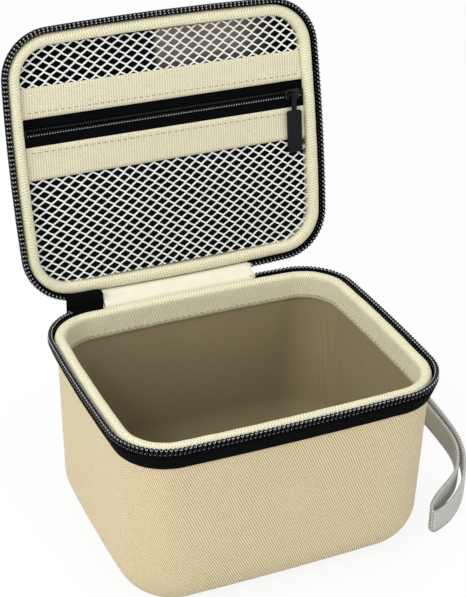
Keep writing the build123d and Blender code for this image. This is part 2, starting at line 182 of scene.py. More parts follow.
class Finish:
    """Shader of one material, or of the world, built from nodes."""

    def __init__(self, name, family="materials"):
        self.owner = getattr(bpy.data, family).new(name)
        self.owner.use_nodes = True
        self.tree = self.owner.node_tree
        self.tree.nodes.clear()

    def node(self, kind, settings=None, inputs=None, output=0):
        """Add a node with its settings first, then the values or links of its sockets."""
        made = self.tree.nodes.new(kind)
        for key, setting in (settings or {}).items():
            setattr(made, key, setting)
        for key, given in (inputs or {}).items():
            if isinstance(given, Value):
                self.tree.links.new(given.socket, made.inputs[key])
            else:
                made.inputs[key].default_value = given
        return Value(self, made.outputs[output]) if made.outputs else None

    def maths(self, operation, *terms):
        return self.node("ShaderNodeMath", {"operation": operation}, dict(enumerate(terms)))

    def place(self):
        """Object coordinates, which are the row frame in metres."""
        return self.node("ShaderNodeTexCoord", output="Object")

    def weave_map(self):
        """The piece's own map: metres along the strip and across it."""
        return self.node("ShaderNodeUVMap", {"uv_map": "weave"})

    def axes(self, vector):
        """The three components of a vector."""
        first = self.node("ShaderNodeSeparateXYZ", None, {"Vector": vector})
        return [Value(self, out) for out in first.socket.node.outputs]

    def wave(self, coordinate, pitch):
        """Rounded ribs from 0 to 1, one for each pitch."""
        return self.maths("SINE", coordinate * (FULL_TURN / pitch)) * 0.5 + 0.5

    def cloud(self, place, grain, detail=2.0):
        """Soft noise from 0 to 1 whose lumps are about grain metres across."""
        return self.node("ShaderNodeTexNoise", {"noise_dimensions": "3D"},
                         {"Vector": place, "Scale": 1.0 / grain, "Detail": detail}, "Fac")

    def step(self, number, low, high):
        """Smooth step from 0 at low to 1 at high."""
        return self.node("ShaderNodeMapRange", {"interpolation_type": "SMOOTHSTEP", "clamp": True},
                         {"Value": number, "From Min": low, "From Max": high})

    def mix(self, factor, first, second):
        """Blend two colours, each a value or three numbers."""
        return self.node("ShaderNodeMix", {"data_type": "RGBA"},
                         {MIX_FACTOR: factor, MIX_FIRST: opaque(first), MIX_SECOND: opaque(second)},
                         MIX_RESULT)

    def bump(self, height, distance, strength):
        return self.node("ShaderNodeBump", None,
                         {"Height": height, "Distance": distance, "Strength": strength})

    def surface(self, base, roughness, normal, **constants):
        """Close the material with one principled shader."""
        inputs = {"Base Color": base, "Roughness": roughness, "Normal": normal}
        inputs.update({key.replace("_", " "): number for key, number in constants.items()})
        shader = self.node("ShaderNodeBsdfPrincipled", None, inputs)
        self.node("ShaderNodeOutputMaterial", None, {"Surface": shader})
        return self.owner


def closed_place(finish, is_lid):
    """Object coordinates and normal of a node, with a lid's turned back to its closed place."""
    place = finish.place()
    facing = finish.node("ShaderNodeNewGeometry", output="Normal")
    if not is_lid:
        return place, facing
    return [finish.node("ShaderNodeVectorRotate", {"rotation_type": "X_AXIS"},
                        {"Vector": vector, "Center": centre, "Angle": sizes().open_angle})
            for vector, centre in ((place, by_hinge(0.0, 0.0, 0.0)), (facing, (0.0, 0.0, 0.0)))]


def twill_cover(name, is_lid):
    """Fine twill over a moulded shell, drawn on the side that each spot faces."""
    pitch, yarn, slope = 1.1 * MM, 0.8 * MM, 0.45
    cover = colours().cover
    finish = Finish(name)
    place, facing = closed_place(finish, is_lid)
    drift = finish.cloud(place, 45 * MM, 1.0) * (6 * MM)

    def lines(along, up):
        """Slanted lines, broken up by the yarns across them."""
        yarns = finish.wave(up - along * slope, yarn) * 0.5 + 0.5
        return finish.wave(along + up * slope + drift, pitch) * yarns

    x, y, _ = finish.axes(place)
    around, height, _ = finish.axes(finish.weave_map())
    facing_up = finish.axes(facing)[2]
    upright, level = lines(around, height), lines(x, y)
    twill = upright + (level - upright) * finish.step(facing_up * facing_up, 0.45, 0.62)
    patches = finish.step(finish.cloud(place, 30 * MM, 3.0), 0.35, 0.75)
    flecks = finish.cloud(place, 1.1 * MM, 2.0)
    shade = finish.mix(twill * 0.9 + flecks * 0.4 - 0.05, scaled(cover, 0.45), scaled(cover, 1.6))
    shade = finish.mix(patches * 0.18, shade, scaled(cover, 1.12))
    normal = finish.bump(twill + flecks * 0.3, 0.16 * MM, 0.55)
    return finish.surface(shade, finish.cloud(place, 4 * MM) * 0.1 + 0.78, normal, Sheen_Weight=0.12,
                          Sheen_Roughness=0.5, Specular_IOR_Level=0.25)


# How far across the cloth a rib slants before it turns back, where ribs are folded into chevrons
CHEVRON_WIDTH = 2.4


def ribbed_cloth(name, base, rib, cross, slant, contrast, depth=0.22, roughness=0.8, sheen=0.15,
                 specular=0.25, plain=0.35, chevron=0.0, brightest=1.35):
    """Woven strip with ribs across it, drawn on the strip's own map.

    rib and cross are the pitches of its ribs and yarns and depth is their relief, in millimetres. slant and
    chevron lean the ribs, plain is how strong a rib stays between its yarns, and brightest lifts its crest.
    """
    finish = Finish(name)
    along, across, _ = finish.axes(finish.weave_map())
    place = finish.place()
    drift = finish.cloud(place, 10 * MM, 1.0) * (0.8 * MM)
    fold = finish.maths("PINGPONG", across, CHEVRON_WIDTH * MM) * chevron
    ribs = finish.maths("SINE", (along + across * slant + fold + drift) * (FULL_TURN / (rib * MM)))
    yarns = finish.maths("SINE", (across + along * 0.08 + drift) * (math.pi / (cross * MM)))
    weave = ribs * (yarns * 0.55 + plain) * 0.5 + 0.5
    flecks = finish.cloud(place, 0.9 * MM, 2.0)
    patches = finish.step(finish.cloud(place, 12 * MM, 3.0), 0.3, 0.75)
    shade = finish.mix(weave * 0.85 + flecks * 0.35 - 0.1, scaled(base, 1.0 - contrast),
                       scaled(base, brightest))
    shade = finish.mix(patches * 0.25, shade, scaled(base, 0.86))
    return finish.surface(shade, roughness, finish.bump(weave + flecks * 0.3, depth * MM, 0.6),
                          Sheen_Weight=sheen, Sheen_Roughness=0.5, Specular_IOR_Level=specular)


# Where light reaches the lid's lining through the net: each edge fades between two places, in metres
LIT_LEFT_X = (0.000, 0.004)
LIT_RIGHT_X = (0.038, 0.066)
LIT_LOW_Z = (0.180, 0.196)


def plain_weave(name, base, pitch=0.8, depth=0.12, contrast=0.22, roughness=0.85, lit=None):
    """Plain square weave on object coordinates, for moulded linings and flat tapes; lit is its lit tone."""
    finish = Finish(name)
    place = finish.place()
    x, y, z = finish.axes(place)
    weave = finish.wave(x + y * 0.3, pitch * MM) * finish.wave(z + y * 0.7, pitch * MM)
    flecks = finish.cloud(place, 1.2 * MM, 2.0)
    patches = finish.cloud(place, 20 * MM, 3.0)
    shade = finish.mix(weave * 0.6 + flecks * 0.4, scaled(base, 1.0 - contrast), scaled(base, 1.1))
    if lit is None:
        shade = finish.mix(finish.step(patches, 0.4, 0.8) * 0.2, shade, scaled(base, 0.8))
    else:
        between = finish.step(x, *LIT_LEFT_X) * (1.0 - finish.step(x, *LIT_RIGHT_X))
        reach = between * finish.step(z, *LIT_LOW_Z)
        shade = finish.mix(reach * (patches * 0.5 + 0.6), shade, lit)
    return finish.surface(shade, roughness, finish.bump(weave + flecks * 0.4, depth * MM, 0.5),
                          Specular_IOR_Level=0.12)


def satin_cloth(name, base):
    """Smooth satin strip with faint lengthwise floats."""
    finish = Finish(name)
    along, across, _ = finish.axes(finish.weave_map())
    place = finish.place()
    floats = finish.wave(along * 0.35 + across + finish.cloud(place, 6 * MM) * MM, 1.1 * MM)
    folds = finish.cloud(place, 7 * MM, 3.0)
    shade = finish.mix(floats * 0.5 + folds * 0.5, scaled(base, 0.84), scaled(base, 1.06))
    return finish.surface(shade, 0.45, finish.bump(floats * 0.3 + folds, 0.35 * MM, 0.7), Sheen_Weight=0.1,
                          Specular_IOR_Level=0.4)


def smooth_black(name, base, roughness, grain, depth, specular, coat=0.0):
    """Black nylon, metal or rubber with faint grain and rubbed spots."""
    finish = Finish(name)
    place = finish.place()
    fine = finish.cloud(place, grain * MM, 3.0)
    wear = finish.step(finish.cloud(place, 6 * MM, 4.0), 0.55, 0.8)
    shade = finish.mix(wear * 0.35 + fine * 0.2, base, tuple(channel * 2.0 + 0.002 for channel in base))
    return finish.surface(shade, fine * 0.16 + (roughness - 0.08) + wear * 0.08,
                          finish.bump(fine, depth * MM, 0.5), Specular_IOR_Level=specular,
                          Coat_Weight=coat, Coat_Roughness=0.2)


def thread_finish(name, base, twist=0.6):
    """Twisted thread: fine slanted lines and a little lint."""
    finish = Finish(name)
    place = finish.place()
    x, y, z = finish.axes(place)
    turns = finish.wave(x + z * 1.3 + y * 0.7, twist * MM)
    lint = finish.cloud(place, 1.5 * MM, 2.0)
    shade = finish.mix(turns * 0.6 + lint * 0.4, scaled(base, 0.80), scaled(base, 1.05))
    return finish.surface(shade, 0.7, finish.bump(turns, 0.08 * MM, 0.6), Sheen_Weight=0.15,
                          Specular_IOR_Level=0.3)


def foam_finish(name, base):
    """Fine round cells of moulded foam."""
    finish = Finish(name)
    cells = finish.node("ShaderNodeTexVoronoi", None, {"Vector": finish.place(), "Scale": 1500.0}, "Distance")
    shade = finish.mix(cells, scaled(base, 0.7), scaled(base, 1.3))
    return finish.surface(shade, 0.95, finish.bump(cells, 0.2 * MM, 0.6))


FINISHES = {}


def make_finishes():
    tint = colours()
    FINISHES.update({
        "tub_twill": twill_cover("tub_twill", False),
        "lid_twill": twill_cover("lid_twill", True),
        "binding": ribbed_cloth("binding_rib", tint.binding, rib=1.40, cross=0.9, slant=0.0, contrast=0.62,
                                depth=0.3, plain=0.42, chevron=0.55, brightest=1.16),
        "band": ribbed_cloth("band_rib", tint.band, rib=1.25, cross=0.8, slant=0.05, contrast=0.68),
        "tape": ribbed_cloth("black_tape", tint.black_cloth, rib=1.6, cross=0.8, slant=1.0, contrast=0.5,
                             depth=0.2, sheen=0.0, specular=0.02),
        "webbing": ribbed_cloth("webbing_rib", tint.webbing, rib=1.28, cross=1.0, slant=0.0, contrast=0.72,
                                depth=0.35, roughness=0.55, sheen=0.2),
        "tub_lining": plain_weave("tub_lining_knit", tint.lining),
        # Lid lining: painted near-black shade, with a painted lit patch where light through the net would
        # reach
        "lid_lining": plain_weave("lid_lining_knit", tint.pocket_painted_shade, contrast=0.5, lit=tint.pocket_glow),
        "satin_plain": plain_weave("stop_satin", tint.satin, roughness=0.5),
        "tape_plain": plain_weave("tape_weave", tint.black_cloth, pitch=1.1, contrast=0.5),
        "webbing_plain": plain_weave("anchor_weave", tint.webbing, pitch=1.3, depth=0.3),
        "satin": satin_cloth("hinge_satin", tint.satin),
        "nylon": smooth_black("coil_nylon", tint.black_nylon, 0.15, 0.6, 0.02, 0.32),
        "metal": smooth_black("slider_paint", tint.black_metal, 0.24, 0.4, 0.02, 0.16, coat=0.02),
        "rubber": smooth_black("pull_rubber", tint.black_rubber, 0.5, 0.3, 0.03, 0.15),
        "net": thread_finish("net_thread", tint.net, twist=0.9),
        "stitch": thread_finish("sewing_thread", scaled(tint.binding, 0.36)),
        "coil_glint_thread": thread_finish("coil_glint_thread", tint.coil_glint_thread),
        "crest_glint": thread_finish("crest_glint_thread", tint.crest_glint),
        "foam": foam_finish("shell_foam", tint.foam),
    })


# The rim outline


def meeting_point(centre_a, reach_a, centre_b, reach_b):
    """Where two circles cross, on the left of the line from the first centre to the second."""
    apart = math.dist(centre_a, centre_b)
    step_x = (centre_b[0] - centre_a[0]) / apart
    step_y = (centre_b[1] - centre_a[1]) / apart
    along = (apart**2 + reach_a**2 - reach_b**2) / (2 * apart)
    across = math.sqrt(reach_a**2 - along**2)
    return centre_a[0] + along * step_x - across * step_y, centre_a[1] + along * step_y + across * step_x


class Rim:
    """The tub's or lid's rim outline: nine tangent arcs, anticlockwise from the middle of the right side."""

    def __init__(self, is_lid):
        s = sizes()
        flare = s.lid_flare if is_lid else 0.0
        radius = s.lid_corner_radius if is_lid else s.corner_radius
        half_width = s.case_width / 2 + flare
        half_depth = s.case_depth / 2 + flare
        side = (half_depth**2 + s.side_bow**2) / (2 * s.side_bow)
        front = (half_width**2 + s.front_bow**2) / (2 * s.front_bow)
        side_x = half_width - side
        front_y = half_depth - front
        x, y = meeting_point((side_x, 0), side - radius, (0, front_y), front - radius)
        low = math.atan2(y, x - side_x)
        high = math.atan2(y - front_y, x)
        bend = high - low
        span = 2 * (math.pi / 2 - high)
        turn = math.pi
        self.is_lid = is_lid
        self.body = "lid" if is_lid else "tub"
        self.place = to_lid() if is_lid else to_tub()
        self.half_width = half_width
        self.half_depth = half_depth
        self.corner = (x, y)
        self.radius = radius
        self.side = (side_x, side)
        self.front = (front_y, front)
        self.arcs = [
            ((side_x, 0), side, 0, low), ((x, y), radius, low, bend), ((0, front_y), front, high, span),
            ((-x, y), radius, turn - high, bend), ((-side_x, 0), side, turn - low, 2 * low),
            ((-x, -y), radius, turn + low, bend), ((0, -front_y), front, turn + high, span),
            ((x, -y), radius, -high, bend), ((side_x, 0), side, -low, low),
        ]
        self.length = sum(reach * sweep for _, reach, _, sweep in self.arcs)

    def at(self, distance, inset):
        """Point at a distance along the outline, moved inwards, and the outward direction's angle."""
        distance %= self.length
        for centre, radius, start, sweep in self.arcs:
            if distance <= radius * sweep + 1e-12:
                angle = start + distance / radius
                reach = radius - inset
                x, y = centre[0] + reach * math.cos(angle), centre[1] + reach * math.sin(angle)
                return Vector((x, y, 0)), angle
            distance -= radius * sweep
        return Vector((self.half_width - inset, 0, 0)), 0.0

    def distance_of(self, x, y):
        """Distance along the outline of the point nearest to (x, y)."""
        slack = 1e-4
        gone = 0.0
        for centre, radius, start, sweep in self.arcs:
            angle = (math.atan2(y - centre[1], x - centre[0]) - start + slack) % FULL_TURN - slack
            near = abs(math.dist(centre, (x, y)) - radius) < self.half_depth
            if near and angle <= sweep + slack:
                return gone + angle * radius
            gone += radius * sweep
        return gone

    def half_span(self, y, inset):
        """Half the outline's width at a given y, moved inwards."""
        side_x, side = self.side
        corner_x, corner_y = self.corner
        if abs(y) <= (side - inset) * math.sin(self.arcs[0][3]):
            return side_x + math.sqrt((side - inset)**2 - y * y)
        reach = self.radius - inset
        rise = abs(y) - corner_y
        return 0.0 if rise >= reach else corner_x + math.sqrt(reach**2 - rise**2)

    def back_at(self, x, inset):
        """Point of the outline's back side at a given x, moved inwards."""
        front_y, front = self.front
        corner_x, corner_y = self.corner
        if abs(x) < corner_x:
            return Vector((x, front_y + math.sqrt((front - inset)**2 - x * x), 0))
        reach = self.radius - inset
        return Vector((x, corner_y + math.sqrt(max(0.0, reach**2 - (abs(x) - corner_x)**2)), 0))


def hinge_y():
    s = sizes()
    return s.case_depth / 2 + s.lid_flare + s.hinge_clearance


def by_hinge(x, behind, above):
    """Point at x, so many millimetres behind and above the hinge line."""
    return x, hinge_y() + behind * MM, sizes().rim_height + above * MM


def to_tub():
    return Matrix.Translation((0, 0, sizes().rim_height))


def to_lid():
    """From closed rim pieces below the mating plane to the open lid."""
    centre = Vector(by_hinge(0, 0, 0))
    swing = Matrix.Rotation(-sizes().open_angle, 4, "X")
    opened = Matrix.Translation(centre) @ swing @ Matrix.Translation(-centre)
    return opened @ to_tub() @ Matrix.Scale(-1, 4, (0, 0, 1))


# Making pieces


def finished(bm, name, finish, body, replaces=(), outward=True):
    """Turn a bmesh into a piece that rides on a body and stands for CAD nodes."""
    if outward:
        bmesh.ops.recalc_face_normals(bm, faces=bm.faces)
    mesh = bpy.data.meshes.new(name)
    bm.to_mesh(mesh)
    bm.free()
    return piece_of(mesh, name, finish, body, replaces)


def piece_of(mesh, name, finish, body, replaces=()):
    piece = bpy.data.objects.new(name, mesh)
    bpy.context.scene.collection.objects.link(piece)
    for polygon in mesh.polygons:
        polygon.use_smooth = True
    mesh.materials.clear()
    mesh.materials.append(FINISHES[finish])
    if body is not None:
        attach(piece, body)
    if replaces:
        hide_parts(*replaces)
    return piece


def thicken(piece, thickness):
    """Give a sheet its thickness, half on each side."""
    wall = piece.modifiers.new("cloth thickness", "SOLIDIFY")
    wall.thickness = thickness
    wall.offset = 0.0


def sheet_grid(columns, rows):
    """Flat grid from -0.5 to 0.5 both ways, for a strip of cloth."""
    bm = bmesh.new()
    bmesh.ops.create_grid(bm, x_segments=columns, y_segments=rows, size=0.5)
    return bm


def map_strip(bm, tall):
    """Lay a strip's weave map: x along it, and y across it, with z added where the strip is tall."""
    layer = bm.loops.layers.uv.new("weave")
    for face in bm.faces:
        for loop in face.loops:
            place = loop.vert.co
            loop[layer].uv = (place.x, place.z + place.y if tall else place.y)


def unwrapped(places, total):
    """Places of one face's corners round a closed line, with those past its start counted on from its end."""
    wraps = max(places) - min(places) > total / 2
    return [place + total if wraps and place < total / 2 else place for place in places]


def in_window(point, left, right):
    """True for a point at the back of the rim between two x values."""
    return point.y > 0 and left < point.x < right


RING_STEP = 1.8 * MM


def spin_section(bm, rim, outline, step):
    """Spin a closed section of insets and drops round the rim's arcs and join its ends."""
    across = bm.verts.layers.float.new("across")
    verts = [bm.verts.new((rim.half_width - inset * MM, 0, -drop * MM)) for inset, drop in outline]
    walked = 0.0
    for before, vert in zip(verts, verts[1:]):
        walked += (vert.co - before.co).length
        vert[across] = walked
    geometry = verts + [bm.edges.new(pair) for pair in zip(verts, verts[1:] + verts[:1])]
    for centre, radius, _, sweep in rim.arcs:
        steps = max(2, round(radius * sweep / step))
        made = bmesh.ops.spin(bm, geom=geometry, cent=(*centre, 0), axis=(0, 0, 1), dvec=(0, 0, 0),
                              angle=sweep, steps=steps, use_merge=False, use_duplicate=False)
        geometry = [g for g in made["geom_last"] if not isinstance(g, bmesh.types.BMFace)]
    bmesh.ops.remove_doubles(bm, verts=bm.verts, dist=1e-6)
    return across


def map_weave(bm, rim, across):
    """Lay a ring's weave map: metres along the rim and across the section."""
    layer = bm.loops.layers.uv.new("weave")
    for face in bm.faces:
        places = [rim.distance_of(loop.vert.co.x, loop.vert.co.y) for loop in face.loops]
        for loop, place in zip(face.loops, unwrapped(places, rim.length)):
            loop[layer].uv = (place, loop.vert[across])


def cut_window(bm, left, right):
    """Take a ring's back part out between two x values."""
    for x in (left, right):
        near = [f for f in bm.faces if f.calc_center_median().y > 0]
        edges = list({e for f in near for e in f.edges})
        verts = list({v for f in near for v in f.verts})
        bmesh.ops.bisect_plane(bm, geom=near + edges + verts, dist=1e-7, plane_co=(x, 0, 0),
                               plane_no=(1, 0, 0))
    gone = [f for f in bm.faces if in_window(f.calc_center_median(), left, right)]
    bmesh.ops.delete(bm, geom=gone, context="FACES")
    bmesh.ops.holes_fill(bm, edges=[e for e in bm.edges if e.is_boundary], sides=0)


def ripple(bm, amount, seed):
    """Move the surface in and out a little, as sewn cloth lies."""
    grain = 6 * MM
    bmesh.ops.recalc_face_normals(bm, faces=bm.faces)
    bm.normal_update()
    for vert in bm.verts:
        offset = noise.noise(vert.co / grain + Vector((seed, 0, 0)))
        vert.co += vert.normal * offset * amount


def rim_piece(rim, name, outline, finish, node=None, window=None, rippled=0.0, step=RING_STEP):
    """Ring round a rim, open at the window, which may stand for a CAD node. Both names follow the body's."""
    bm = bmesh.new()
    across = spin_section(bm, rim, outline, step)
    map_weave(bm, rim, across)
    if rippled:
        ripple(bm, rippled * MM, 3.0 if rim.is_lid else 0.0)
    if window:
        cut_window(bm, window[0] * MM, window[1] * MM)
    bmesh.ops.transform(bm, matrix=rim.place, verts=bm.verts)
    return finished(bm, rim.body + name, finish, rim.body, [rim.body + node] if node else ())


def copies(name, template, places, finish, body, replaces=()):
    """One piece from many copies of a small template bmesh."""
    small = bpy.data.meshes.new(name + "_one")
    template.to_mesh(small)
    template.free()
    bm = bmesh.new()
    for matrix in places:
        small.transform(matrix)
        bm.from_mesh(small)
        small.transform(matrix.inverted())
    bpy.data.meshes.remove(small)
    return finished(bm, name, finish, body, replaces)


def turned(place, axis, angle):
    """A matrix that turns about an axis and then moves to a place, both in metres and radians."""
    return Matrix.Translation(place) @ Matrix.Rotation(angle, 4, axis)


def bead(size_x, size_y, size_z, segments=8, rings=6):
    bm = bmesh.new()
    bmesh.ops.create_uvsphere(bm, u_segments=segments, v_segments=rings, radius=0.5)
    bmesh.ops.scale(bm, vec=(size_x * MM, size_y * MM, size_z * MM), verts=bm.verts)
    return bm


def stitch_bead(size_x, size_y, size_z):
    return bead(size_x, size_y, size_z, segments=6, rings=4)


def joined(beads):
    """One bmesh from beads, each with its place and the axis and degrees that it leans."""
    bm = bmesh.new()
    for part, place, axis, lean in beads:
        mesh = bpy.data.meshes.new("part")
        part.to_mesh(mesh)
        part.free()
        mesh.transform(turned(Vector(place) * MM, axis, math.radians(lean)))
        bm.from_mesh(mesh)
        bpy.data.meshes.remove(mesh)
    return bm


# Layout shared with the CAD: places along x of the hinge and the zip's ends, then insets, drops and widths
HINGE_LEFT = -42.3
HINGE_RIGHT = 32.2
CROTCH = -58.9
PARKED_END = -44.5
STOP_END = HINGE_RIGHT + 3.0
ROW_DROP = (0.2, 3.5)
ROW_INSET = (0.3, 2.3)
TAPE_TOP = 3.6
BAND_HEIGHT = 11.5
BODY_INSET = 4.5
SEAM_GAP = 0.1
BINDING_FACE = 8.6
BINDING_CLOTH = 1.0
PANEL_DROP = 4.6
PANEL_INSET = 8.75
POCKET_ZIP_Y = -17.0
POCKET_TAPE = 14.5
UPPER_BAND = 13.2
LOWER_BAND = 14.6


class BuildCovers(bpy.types.Operator):
    """Give the moulded covers, foam and linings their cloths, and the hardware its paint"""
    bl_idname = "hard_case.covers"
    bl_label = "Covers and linings"

    def execute(self, context):
        wear = {"tub_cover": "tub_twill", "lid_cover": "lid_twill", "tub_shell": "foam", "lid_shell": "foam",
                "tub_lining": "tub_lining", "lid_lining": "lid_lining", "tub_row_stop": "satin_plain",
                "lid_row_stop": "satin_plain", "zip_parked_tape": "tape_plain", "zip_parked_stop": "metal",
                "pocket_stops": "metal", "main_slider": "metal", "pocket_slider": "metal",
                "main_pull": "rubber", "pocket_pull": "rubber", "strap_anchor": "webbing_plain"}
        for name, finish in wear.items():
            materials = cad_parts[name].data.materials
            materials.clear()
            materials.append(FINISHES[finish])
        self.lay_cloth("tub_cover", Rim(False))
        self.lay_cloth("lid_cover", Rim(True))
        for name in ("main_slider", "pocket_slider", "main_pull", "pocket_pull", "zip_parked_stop"):
            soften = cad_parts[name].modifiers.new("soft edges", "BEVEL")
            soften.width = 0.18 * MM
            soften.segments = 2
            soften.limit_method = "ANGLE"
        return {"FINISHED"}

    def lay_cloth(self, name, rim):
        """Map a moulded cover by the way round its rim and the depth below it."""
        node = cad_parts[name]
        back = rim.place.inverted() @ node.matrix_world
        mesh = node.data
        layer = mesh.uv_layers.new(name="weave")
        for polygon in mesh.polygons:
            spots = [back @ mesh.vertices[corner].co for corner in polygon.vertices]
            places = unwrapped([rim.distance_of(spot.x, spot.y) for spot in spots], rim.length)
            for index, spot, around in zip(polygon.loop_indices, spots, places):
                layer.data[index].uv = (around, spot.z)


def binding_outline(leg):
    """Closed outline of the rolled binding, from its outer leg over the crest to its inner leg."""
    outer_leg, roll, crest, under, steps = 7.0, 2.0, 1.1, 3.9, 6
    wall = BODY_INSET - SEAM_GAP
    outside = wall - BINDING_CLOTH
    inside = BINDING_FACE - BINDING_CLOTH
    low = crest + roll
    fan = [math.radians(degrees) for degrees in range(0, 91, 18)]
    points = [(outside, outer_leg), (outside, 5.2), (outside, low)]
    points += [(outside + roll - roll * math.cos(a), low - roll * math.sin(a)) for a in fan[1:]]
    points += [((outside + BINDING_FACE) / 2, crest - 0.12)]
    points += [(BINDING_FACE - roll + roll * math.sin(a), low - roll * math.cos(a)) for a in fan]
    points += [(BINDING_FACE, low + (leg - low) * n / steps) for n in range(1, steps + 1)]
    return points + [(inside, leg), (inside, under), (wall, under), (wall, outer_leg)]


class BuildBindings(bpy.types.Operator):
    """Roll a ribbed binding over each rim and stitch it down"""
    bl_idname = "hard_case.bindings"
    bl_label = "Bindings"

    def execute(self, context):
        for rim, leg in ((Rim(False), 14.0), (Rim(True), 7.7)):
            rim_piece(rim, "_binding_cloth", binding_outline(leg), "binding", "_binding",
                      rippled=0.16)
            self.stitch(rim, leg)
        return {"FINISHED"}

    def stitch(self, rim, leg):
        """Row of stitches along the foot of the inner leg."""
        proud, above_foot = 0.02, 1.9
        count = round(rim.length / sizes().stitch_pitch)
        places = []
        for number in range(count):
            point, angle = rim.at(rim.length * number / count, (BINDING_FACE + proud) * MM)
            point.z = -(leg - above_foot) * MM
            places.append(rim.place @ turned(point, "Z", angle + math.pi / 2))
        copies(rim.body + "_binding_stitches", stitch_bead(2.0, 0.5, 0.55), places, "stitch", rim.body)


class BuildZipTapes(bpy.types.Operator):
    """Woven zip tapes round both rims"""
    bl_idname = "hard_case.zip_tapes"
    bl_label = "Zip tapes"

    def execute(self, context):
        foot = BODY_INSET - SEAM_GAP - 1.1
        outer = [(0.4, TAPE_TOP), (1.3, 6.2), (2.3, 8.9), (foot - 0.1, BAND_HEIGHT - 0.3)]
        under = [(foot + 0.1, BAND_HEIGHT), (foot + 1.05, BAND_HEIGHT)]
        inner = [(3.4, 8.9), (2.4, 6.2), (1.5, TAPE_TOP)]
        for rim, left in ((Rim(False), HINGE_LEFT), (Rim(True), CROTCH)):
            rim_piece(rim, "_tape_cloth", outer + under + inner, "tape", "_zip_tape",
                      window=(left, HINGE_RIGHT), rippled=0.08)
        return {"FINISHED"}


def coil_tooth():
    """One turn of the coil as it shows from outside: a slanted strand with a wide head and a lower bend."""
    middle_y = -sum(ROW_INSET) / 2
    return joined((
        (bead(1.0, 1.8, 3.3), (0, middle_y + 0.08, -sum(ROW_DROP) / 2), "Y", 9),
        (bead(1.62, 1.95, 1.2), (0.12, middle_y, -(ROW_DROP[0] + 0.62)), "Y", 0),
        (bead(1.25, 1.5, 0.8), (-0.12, middle_y + 0.2, -(ROW_DROP[1] - 0.45)), "Y", 0)))


def coil_glint_dot():
    """Stitches of the thread that sews the foot of one turn of the coil to its tape, drawn grey as a painted
    glint.
    """
    return joined([(stitch_bead(0.55, 0.5, 0.6), (0.6, -inset, -(ROW_DROP[1] - 0.9)), "Y", 0)
                   for inset in (ROW_INSET[0] + 0.05, ROW_INSET[1] - 0.1)])


def crest_glint_stitch(is_lid):
    """Pale strands over one turn's head, painted highlights that stand in for the nylon's glints: a V on each
    side of the tub's, slanted ticks on top of the lid's.
    """
    if is_lid:
        drop = ROW_DROP[0] + 0.12
        return joined([(stitch_bead(0.38, 0.80, 0.40), (0, -inset, -drop), "Z", 36)
                       for inset in (ROW_INSET[0] + 0.45, ROW_INSET[1] - 0.45)])
    drop = ROW_DROP[0] + 0.42
    return joined([(stitch_bead(0.25, 0.36, 0.86), (side * 0.28, -inset, -drop), "Y", 34 * side)
                   for inset in (ROW_INSET[0] + 0.2, ROW_INSET[1] - 0.2) for side in (-1, 1)])


class BuildZipTeeth(bpy.types.Operator):
    """Coil teeth of the main zip, round both rims and closed at the joined end"""
    bl_idname = "hard_case.zip_teeth"
    bl_label = "Main zip teeth"

    def execute(self, context):
        for rim in (Rim(False), Rim(True)):
            self.row(rim)
        self.joined_end()
        return {"FINISHED"}

    def row(self, rim):
        """Turns of one coil, the lid's half a pitch on, their foot stitches in a grey that is partly a
        painted glint, their pale crest stitches painted as glints, and the cord that they run round.
        """
        shift = 0.5 if rim.is_lid else 0.0
        count = round(rim.length / sizes().tooth_pitch)
        places = []
        for number in range(count):
            point, angle = rim.at(rim.length * (number + shift) / count, 0.0)
            if not in_window(point, CROTCH * MM, (STOP_END + 0.6) * MM):
                places.append(rim.place @ turned(point, "Z", angle - math.pi / 2))
        body = rim.body
        copies(body + "_zip_teeth", coil_tooth(), places, "nylon", body, [body + "_zip_row"])
        # Foot stitches, drawn grey as a painted glint
        copies(body + "_coil_glint_thread", coil_glint_dot(), places, "coil_glint_thread", body)
        # Painted highlight: pale stitches over each turn's head stand in for its glint
        copies(body + "_crest_glints", crest_glint_stitch(rim.is_lid), places, "crest_glint", body)
        cord = [(0.85, 0.8), (0.75, 2.0), (0.8, 3.2), (1.3, 3.45), (1.9, 3.2), (2.0, 1.0), (1.4, 0.7)]
        rim_piece(rim, "_zip_cord", cord, "tape", window=(CROTCH, STOP_END + 0.2), step=3 * MM)

    def joined_end(self):
        """Closed chain along the hinge line."""
        start = CROTCH + 2.5
        pitch = sizes().tooth_pitch / MM
        places = []
        for number in range(int((PARKED_END - start) / pitch)):
            for side, shift in ((1, 0.5), (-1, 1.0)):
                x = start + (number + shift) * pitch
                if x <= PARKED_END:
                    places.append(turned(by_hinge(x * MM, 0.0, side * 1.52), "Y", math.radians(8 * side)))
        copies("joined_chain_teeth", bead(1.35, 1.7, 2.15), places, "nylon", "tub",
               ["zip_parked_chain"])


# Sections of the hinge's cloths, from the tub up. A point on a rim's back is an inset and a drop, and a point
# by the chain is how far it lies behind and above the hinge line
SPINE_ROWS = [(3.2, 12.4), (2.7, 9.5), (1.6, 6.5), (0.7, 3.6), (0.2, 1.8), (-0.3, 0.6)]
STRIP_ROWS = [(2.9, 3.4), (2.5, 2.2), (2.1, 1.2), (1.7, 0.5)]
WEB_TUB_ROWS = [(3.3, 5.0), (2.9, 3.9), (2.2, 3.6)]
WEB_CHAIN_ROWS = [(-2.3, -3.6), (-2.3, 0.0), (-2.3, 4.2), (0.3, 4.8)]
WEB_LID_ROWS = [(3.2, 1.3), (3.1, 2.8), (3.1, 5.0), (3.1, 8.2), (3.7, 11.4)]
HINGE_CLOTH = 0.6


